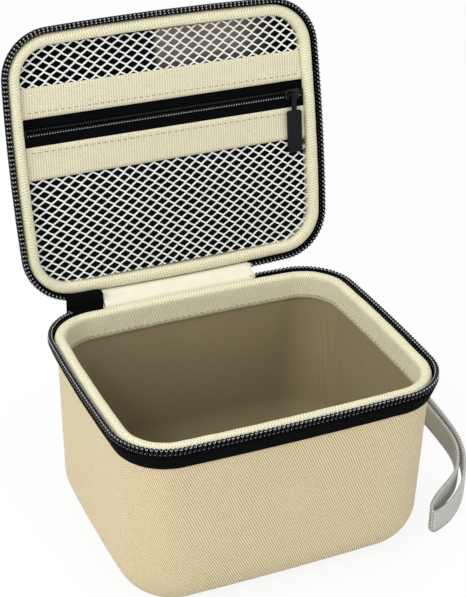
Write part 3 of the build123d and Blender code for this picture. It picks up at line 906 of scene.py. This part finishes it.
def hinge_cloth(name, section, left, right, finish, slot, nodes, start, end, columns=44, soft=True):
    """Cloth from the tub's wall over the hinge line to the lid's wall; start and end are not used.

    Each row of its section is a rim, or None for a row by the chain, and the row's two numbers.
    """
    bm = sheet_grid(columns, len(section) - 1)
    for vert in bm.verts:
        rim, (first, second) = section[round((vert.co.y + 0.5) * (len(section) - 1))]
        x = (left + (right - left) * (vert.co.x + 0.5)) * MM
        if rim is None:
            vert.co = by_hinge(x, first, second)
        else:
            point = rim.back_at(x, first * MM)
            point.z = -second * MM
            vert.co = rim.place @ point
    map_strip(bm, tall=True)
    piece = finished(bm, name, finish, None, nodes)
    thicken(piece, HINGE_CLOTH * MM)
    if soft:
        smooth = piece.modifiers.new("soft bends", "SUBSURF")
        smooth.levels = 1
        smooth.render_levels = 1
    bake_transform(piece)
    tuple(start)
    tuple(end)
    return piece


class BuildHinge(bpy.types.Operator):
    """Cloth hinge: outer spine, inner satin strip and the black web of the joined zip end"""
    bl_idname = "hard_case.hinge"
    bl_label = "Cloth hinge"

    def execute(self, context):
        tub, lid = Rim(False), Rim(True)
        left = HINGE_LEFT + 0.4
        bend = (by_hinge(0, -1.2, -1.0), by_hinge(0, 2.2, 1.8))
        spine = [(tub, row) for row in SPINE_ROWS] + [(lid, row) for row in reversed(SPINE_ROWS)]
        outer = hinge_cloth("hinge_spine_cloth", spine, left, HINGE_RIGHT - 0.4, "tub_twill", "cover_cloth",
                            ["hinge_spine_tub", "hinge_spine_lid"], *bend)
        strip = [(tub, row) for row in STRIP_ROWS] + [(lid, row) for row in reversed(STRIP_ROWS)]
        inner = hinge_cloth("hinge_satin_strip", strip, left, HINGE_RIGHT + 2.3, "satin", "hinge_satin",
                            ["hinge_panel_tub", "hinge_panel_lid"], *bend)
        web = [(tub, row) for row in WEB_TUB_ROWS] + [(None, row) for row in WEB_CHAIN_ROWS]
        web += [(lid, row) for row in WEB_LID_ROWS]
        hinge_cloth("joined_tape_web", web, CROTCH - 1.2, HINGE_LEFT + 0.2, "tape", "zip_tape", (),
                    by_hinge(0, 0.0, 2.4), by_hinge(0, 1.2, 4.2), columns=20, soft=False)
        return {"FINISHED"}


def pocket_place():
    """From coordinates on the pocket panel, seen from inside the lid, to the open lid."""
    return to_lid() @ Matrix.Translation((0, 0, -PANEL_DROP * MM))


def pocket_rows():
    """Edges of the pocket's strips, as y in millimetres, from the front of the closed lid to the hinge."""
    zip_low = POCKET_ZIP_Y - POCKET_TAPE / 2
    zip_high = POCKET_ZIP_Y + POCKET_TAPE / 2
    return zip_low - UPPER_BAND, zip_low, zip_high, zip_high + LOWER_BAND


def pocket_strip(name, rim, low, high, finish, thickness, level, wave):
    """Flat cloth strip across the pocket, its ends under the binding.

    It lies at a level above the panel, and puckers up and down by the wave.
    """
    bm = sheet_grid(90, 10)
    inset = (PANEL_INSET - 0.5) * MM
    for vert in bm.verts:
        y = (low + (high - low) * (vert.co.y + 0.5)) * MM
        x = vert.co.x * 2 * rim.half_span(y, inset)
        pucker = noise.noise(Vector((x / (9 * MM), y / (6 * MM), level))) * wave
        vert.co = (x, y, (level + pucker) * MM)
    map_strip(bm, tall=False)
    bmesh.ops.transform(bm, matrix=pocket_place(), verts=bm.verts)
    piece = finished(bm, name + "_cloth", finish, "lid", [name], outward=False)
    thicken(piece, thickness * MM)
    return piece


def across_pocket(reach, pitch):
    """Evenly spaced places from -reach to reach, all in millimetres."""
    count = int(2 * reach / pitch)
    return [-reach + (number + 0.5) * 2 * reach / count for number in range(count)]


class BuildPocket(bpy.types.Operator):
    """Bands, tapes, coil and stitches of the net pocket"""
    bl_idname = "hard_case.pocket"
    bl_label = "Pocket bands and zip"

    def execute(self, context):
        rim = Rim(True)
        upper, zip_low, zip_high, lower = pocket_rows()
        tuck, half_chain, hem = 0.7, 1.95, 1.9
        for side, low, high, flat in (("upper", upper + 0.05, zip_low + tuck, (0.0139, 0.1400)),
                                      ("lower", zip_high - tuck, lower - 0.05, (0.0153, 0.1400))):
            piece = pocket_strip("pocket_band_" + side, rim, low, high, "band", thickness=0.9,
                                 level=0.35, wave=0.18)
        for side, low, high in (("upper", zip_low + 0.1, POCKET_ZIP_Y - half_chain),
                                ("lower", POCKET_ZIP_Y + half_chain, zip_high - 0.1)):
            pocket_strip("pocket_tape_" + side, rim, low, high, "tape", thickness=0.45,
                         level=-0.25, wave=0.06)
        self.stitch("band_upper_stitches", rim, zip_low - hem)
        self.stitch("band_lower_stitches", rim, zip_high + hem)
        self.chain(rim)
        return {"FINISHED"}

    def stitch(self, name, rim, y):
        """Row of stitches along a band at a given y."""
        reach = rim.half_span(y * MM, PANEL_INSET * MM) / MM - 2.0
        places = [pocket_place() @ Matrix.Translation((x * MM, y * MM, 0.85 * MM))
                  for x in across_pocket(reach, sizes().stitch_pitch / MM)]
        copies(name, stitch_bead(1.9, 0.5, 0.5), places, "stitch", "lid")

    def chain(self, rim):
        """Closed fine coil with a row of pale thread dots along its lower side, painted highlights that stand
        in for the coil's glints.
        """
        pitch = sizes().pocket_pitch / MM
        places = []
        for x in across_pocket(rim.half_width / MM - PANEL_INSET - 1.3, pitch):
            for side in (-1, 1):
                spot = ((x + side * pitch / 4) * MM, (POCKET_ZIP_Y + side * 0.98) * MM, 0)
                places.append(pocket_place() @ turned(spot, "Z", math.radians(12 * side)))
        copies("pocket_zip_teeth", bead(1.0, 1.95, 1.35, 8, 5), places, "nylon", "lid",
               ["pocket_chain"])
        # Painted highlight: pale dots along the coil, in the crest glint colour
        glint_dots = [place @ Matrix.Translation((0, 0.3 * MM, 0.62 * MM)) for place in places[1::2]]
        copies("pocket_coil_glint_thread", stitch_bead(0.5, 0.42, 0.4), glint_dots, "crest_glint", "lid")


def curve_mesh(curve):
    """Mesh of a curve as it is drawn."""
    line = bpy.data.objects.new(curve.name + "_line", curve)
    bpy.context.scene.collection.objects.link(line)
    bpy.context.view_layer.update()
    mesh = bpy.data.meshes.new_from_object(line.evaluated_get(bpy.context.evaluated_depsgraph_get()))
    bpy.data.objects.remove(line)
    return mesh


def lay_spline(curve, kind, places):
    """Add one line through places to a curve."""
    spline = curve.splines.new(kind)
    spline.points.add(len(places) - 1)
    for point, place in zip(spline.points, places):
        point.co = (*place, 1.0)
    return spline


# The two slants of the net's double threads: direction, half a pair's gap, and the share of full thickness
NET_SLANTS = ((1, 0.34, 0.98), (-1, 0.46, 0.88))
NET_REACH = 160.0
POINTS_PER_CELL = 4


class BuildNets(bpy.types.Operator):
    """Knit both nets from crossing double threads"""
    bl_idname = "hard_case.nets"
    bl_label = "Nets"

    def execute(self, context):
        rim = Rim(True)
        upper, _, _, lower = pocket_rows()
        low_edge = PANEL_INSET - rim.half_depth / MM
        for side, low, high, flat in (("upper", low_edge, upper + 0.8, (0.0196, 0.1390)),
                                      ("lower", lower - 0.8, -low_edge, (0.0522, 0.1400))):
            mesh = self.knit(rim, low, high)
            mesh.name = "net_" + side + "_knit"
            piece = piece_of(mesh, mesh.name, "net", "lid", ["pocket_net_" + side])
        return {"FINISHED"}

    def knit(self, rim, low, high):
        """Mesh of all threads between two y values."""
        curve = bpy.data.curves.new("net_threads", "CURVE")
        curve.dimensions = "3D"
        curve.bevel_depth = sizes().net_thread / 2
        curve.bevel_resolution = 0
        reach = int(NET_REACH * MM / (sizes().net_width / 2))
        for slant, spread, weight in NET_SLANTS:
            for line in range(-reach, reach + 1):
                for side in (-1, 1):
                    for run in self.runs(rim, low, high, slant, line, side * spread * MM, reach):
                        for point in lay_spline(curve, "POLY", run).points:
                            point.radius = weight
        mesh = curve_mesh(curve)
        mesh.transform(pocket_place())
        mesh.flip_normals()
        return mesh

    def runs(self, rim, low, high, slant, line, spread, reach):
        """Stretches of one thread that lie on the net, as lists of points."""
        width, height = sizes().net_width / 2, sizes().net_height / 2
        inset = (PANEL_INSET - 0.5) * MM
        run = []
        for step in range(-reach * POINTS_PER_CELL, reach * POINTS_PER_CELL + 1):
            share = step / POINTS_PER_CELL
            x = (line * 2 + share - 0.09 * math.sin(FULL_TURN * share)) * width
            y = POCKET_ZIP_Y * MM + share * height * slant
            bow = abs(math.sin(math.pi * share)) * 0.6 + 0.4
            x += spread * bow + noise.noise(Vector((x / (20 * MM), y / (20 * MM), slant))) * (0.7 * MM)
            if low * MM < y < high * MM and abs(x) < rim.half_span(y, inset):
                lift = slant * 0.12 * MM * math.cos(math.pi * share)
                sag = noise.noise(Vector((x / (30 * MM), y / (30 * MM), 5.0))) * (0.5 * MM)
                run.append((x, y, lift + sag))
            elif run:
                if len(run) > 1:
                    yield run
                run = []
        if len(run) > 1:
            yield run


# The loop's line seen from above, from its anchor out along one length of webbing and back along the other,
# and three points of the tilted plane that it lies in
LOOP_ROUTE = [(75.2, 24.2), (75.4, 22.6), (78.0, 18.5), (86.5, 4.5), (93.6, -7.2), (98.0, -14.5),
              (103.2, -25.2), (98.5, -34.6), (86.5, -40.0), (80.5, -43.2), (77.9, -45.6), (78.6, -47.4),
              (80.6, -47.6), (91.0, -44.6), (101.0, -37.5), (106.2, -26.0), (100.6, -12.5), (93.2, -0.6),
              (85.7, 11.5), (79.9, 21.0), (78.0, 24.2), (76.4, 25.0)]
LOOP_HIGH = Vector((74.8, 22.0, 65.0))
LOOP_BULGE = Vector((104.0, -26.0, 23.5))
LOOP_TIP = Vector((79.5, -46.0, 7.2))


class BuildWristLoop(bpy.types.Operator):
    """Ribbed webbing loop on edge, and the stitches of its anchor"""
    bl_idname = "hard_case.wrist_loop"
    bl_label = "Wrist loop"

    def execute(self, context):
        s = sizes()
        rows = 6
        bm = bmesh.new()
        layer = bm.loops.layers.uv.new("weave")
        place = bm.verts.layers.float.new("along")
        ring = [bm.verts.new((p.x, p.y, self.height(p))) for p in self.route()]
        edges = [bm.edges.new((a, b)) for a, b in zip(ring, ring[1:] + ring[:1])]
        walked = 0.0
        for before, vert in zip(ring, ring[1:]):
            walked += (vert.co - before.co).length
            vert[place] = walked
        total = walked + (ring[0].co - ring[-1].co).length
        bmesh.ops.translate(bm, vec=(0, 0, -s.webbing_width / 2), verts=ring)
        for _ in range(rows):
            made = bmesh.ops.extrude_edge_only(bm, edges=edges)["geom"]
            lifted = [g for g in made if isinstance(g, bmesh.types.BMVert)]
            bmesh.ops.translate(bm, vec=(0, 0, s.webbing_width / rows), verts=lifted)
            edges = [g for g in made if isinstance(g, bmesh.types.BMEdge)]
        for face in bm.faces:
            places = unwrapped([loop.vert[place] for loop in face.loops], total)
            for loop, along in zip(face.loops, places):
                loop[layer].uv = (along, loop.vert.co.z - self.height(loop.vert.co))
        piece = finished(bm, "wrist_webbing", "webbing", "wrist_loop", ["wrist_loop"])
        thicken(piece, s.webbing_thickness)
        self.anchor_stitches()
        return {"FINISHED"}

    def height(self, point):
        """Height of the loop's tilted plane at a point."""
        slope = (LOOP_TIP - LOOP_HIGH).cross(LOOP_BULGE - LOOP_HIGH)
        run_x = point.x / MM - LOOP_HIGH.x
        run_y = point.y / MM - LOOP_HIGH.y
        return (LOOP_HIGH.z - (slope.x * run_x + slope.y * run_y) / slope.z) * MM

    def route(self):
        """Points along the loop's smooth closed line, seen from above."""
        curve = bpy.data.curves.new("loop_route", "CURVE")
        curve.dimensions = "3D"
        curve.resolution_u = 6
        spline = lay_spline(curve, "NURBS", [(x * MM, y * MM, 0.0) for x, y in LOOP_ROUTE])
        spline.use_cyclic_u = True
        spline.order_u = 3
        mesh = curve_mesh(curve)
        points = [vert.co.copy() for vert in mesh.vertices]
        bpy.data.meshes.remove(mesh)
        return points

    def anchor_stitches(self):
        """Box of stitches through the sewn ends."""
        low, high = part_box("strap_anchor")
        inset = 1.4 * MM
        face_inset = 3.05 * MM
        per_side = 4
        rim = Rim(False)
        places = []
        for number in range(per_side):
            share = (number + 0.5) / per_side
            y = low.y + inset + (high.y - low.y - 2 * inset) * share
            z = low.z + inset + (high.z - low.z - 2 * inset) * share
            for spot, turn in (((y, low.z + inset), 90), ((y, high.z - inset), 90),
                               ((low.y + inset, z), 0), ((high.y - inset, z), 0)):
                face = rim.half_span(spot[0], face_inset)
                places.append(turned((face, *spot), "X", math.radians(turn)))
        copies("anchor_stitches", stitch_bead(0.24, 0.5, 1.7), places, "stitch", "tub")


# The stage: each lamp's name, place, watts, size and tone, and the camera's place and axes, in metres
LAMPS = (("key", (-1.15, -0.35, 0.85), 12.0, 0.9, (1.0, 0.985, 0.95)),
         ("spark", (-0.80, -0.75, 1.10), 3.2, 0.2, WHITE),
         ("fill", (0.65, -1.00, 0.60), 5.4, 0.9, WHITE),
         ("top", (0.1, 0.15, 1.35), 6.0, 0.8, WHITE),
         ("rear", (-0.2, 1.1, 0.8), 3.0, 0.9, WHITE))
LAMP_TARGET = Vector((0.0, 0.02, 0.09))
CAMERA_PLACE = Vector((-0.247531, -0.540958, 0.449457))
CAMERA_RIGHT = Vector((0.91493, -0.40336, 0.01397))
CAMERA_UP = Vector((0.18553, 0.45108, 0.87298))
CAMERA_BACK = Vector((-0.35843, -0.79613, 0.48755))
PHOTO_HEIGHT = 597
FOCAL_PIXELS = 1557.9


class BuildStage(bpy.types.Operator):
    """Pale floor, soft studio lamps, white surroundings and the camera"""
    bl_idname = "hard_case.stage"
    bl_label = "Stage"

    def execute(self, context):
        self.floor()
        self.world()
        self.lamps()
        self.camera()
        context.scene.view_settings.view_transform = "Standard"
        return {"FINISHED"}

    def floor(self):
        """Disc that catches shadows and shows nearly white."""
        bm = bmesh.new()
        bmesh.ops.create_circle(bm, cap_ends=True, segments=96, radius=6.0)
        mesh = bpy.data.meshes.new("floor")
        bm.to_mesh(mesh)
        bm.free()
        piece = bpy.data.objects.new("floor", mesh)
        bpy.context.scene.collection.objects.link(piece)
        finish = Finish("pale_floor")
        shaded = finish.node("ShaderNodeBsdfDiffuse", None, {"Color": opaque(colours().floor)})
        white = finish.node("ShaderNodeEmission", None, {"Color": opaque(WHITE), "Strength": 1.0})
        seen, mirrored, through = (finish.node("ShaderNodeLightPath", output=ray) for ray in
                                   ("Is Camera Ray", "Is Glossy Ray", "Is Transmission Ray"))
        share = finish.maths("MINIMUM", (seen + mirrored + through) * 0.88, 1.0)
        both = finish.node("ShaderNodeMixShader", None, {0: share, 1: shaded, 2: white})
        finish.node("ShaderNodeOutputMaterial", None, {"Surface": both})
        mesh.materials.append(finish.owner)

    def world(self):
        """White to the camera, and a dimmer, slightly blue glow on the case."""
        studio = Finish("studio", "worlds")
        bpy.context.scene.world = studio.owner
        seen = studio.node("ShaderNodeLightPath", output="Is Camera Ray")
        glow = studio.node("ShaderNodeBackground", None, {"Color": (0.96, 0.97, 1.0, 1.0), "Strength": 0.42})
        white = studio.node("ShaderNodeBackground", None, {"Color": opaque(WHITE), "Strength": 1.0})
        both = studio.node("ShaderNodeMixShader", None, {0: seen, 1: glow, 2: white})
        studio.node("ShaderNodeOutputWorld", None, {"Surface": both})

    def lamps(self):
        for name, place, watts, size, tone in LAMPS:
            lamp = bpy.data.lights.new(name, "AREA")
            lamp.energy = watts
            lamp.size = size
            lamp.color = tone
            holder = bpy.data.objects.new(name, lamp)
            holder.location = place
            holder.rotation_mode = "QUATERNION"
            holder.rotation_quaternion = (LAMP_TARGET - Vector(place)).to_track_quat("-Z", "Y")
            bpy.context.scene.collection.objects.link(holder)

    def camera(self):
        lens = bpy.data.cameras.new("camera")
        lens.sensor_fit = "AUTO"
        lens.sensor_width = 36.0
        lens.lens = FOCAL_PIXELS / PHOTO_HEIGHT * lens.sensor_width
        lens.clip_start = 0.05
        lens.clip_end = 20.0
        holder = bpy.data.objects.new("camera", lens)
        axes = Matrix((CAMERA_RIGHT, CAMERA_UP, CAMERA_BACK)).transposed().to_4x4()
        holder.matrix_world = Matrix.Translation(CAMERA_PLACE) @ axes
        bpy.context.scene.collection.objects.link(holder)
        bpy.context.scene.camera = holder


class HardCasePanel(bpy.types.Panel):
    """Lists the sizes, colours and building steps"""
    bl_idname = "VIEW3D_PT_hard_case"
    bl_label = "Hard Case"
    bl_space_type = "VIEW_3D"
    bl_region_type = "UI"
    bl_category = "Hard Case"

    def draw(self, context):
        for group in (context.scene.hard_case_sizes, context.scene.hard_case_colours):
            column = self.layout.column()
            for key in group.bl_rna.properties.keys():
                if key not in ("rna_type", "name"):
                    column.prop(group, key)
        for operator in OPERATORS:
            self.layout.operator(operator.bl_idname)


OPERATORS = (BuildCovers, BuildBindings, BuildZipTapes, BuildZipTeeth, BuildHinge, BuildPocket, BuildNets,
             BuildWristLoop, BuildStage)
CLASSES = (HardCaseSizes, HardCaseColours, *OPERATORS, HardCasePanel)


def register():
    for each in CLASSES:
        bpy.utils.register_class(each)
    bpy.types.Scene.hard_case_sizes = bpy.props.PointerProperty(type=HardCaseSizes)
    bpy.types.Scene.hard_case_colours = bpy.props.PointerProperty(type=HardCaseColours)


def unregister():
    del bpy.types.Scene.hard_case_colours
    del bpy.types.Scene.hard_case_sizes
    for each in reversed(CLASSES):
        bpy.utils.unregister_class(each)


def main():
    register()
    make_finishes()
    bpy.ops.hard_case.covers()
    bpy.ops.hard_case.bindings()
    bpy.ops.hard_case.zip_tapes()
    bpy.ops.hard_case.zip_teeth()
    bpy.ops.hard_case.hinge()
    bpy.ops.hard_case.pocket()
    bpy.ops.hard_case.nets()
    bpy.ops.hard_case.wrist_loop()
    bpy.ops.hard_case.stage()


if __name__ == "__main__":
    main()
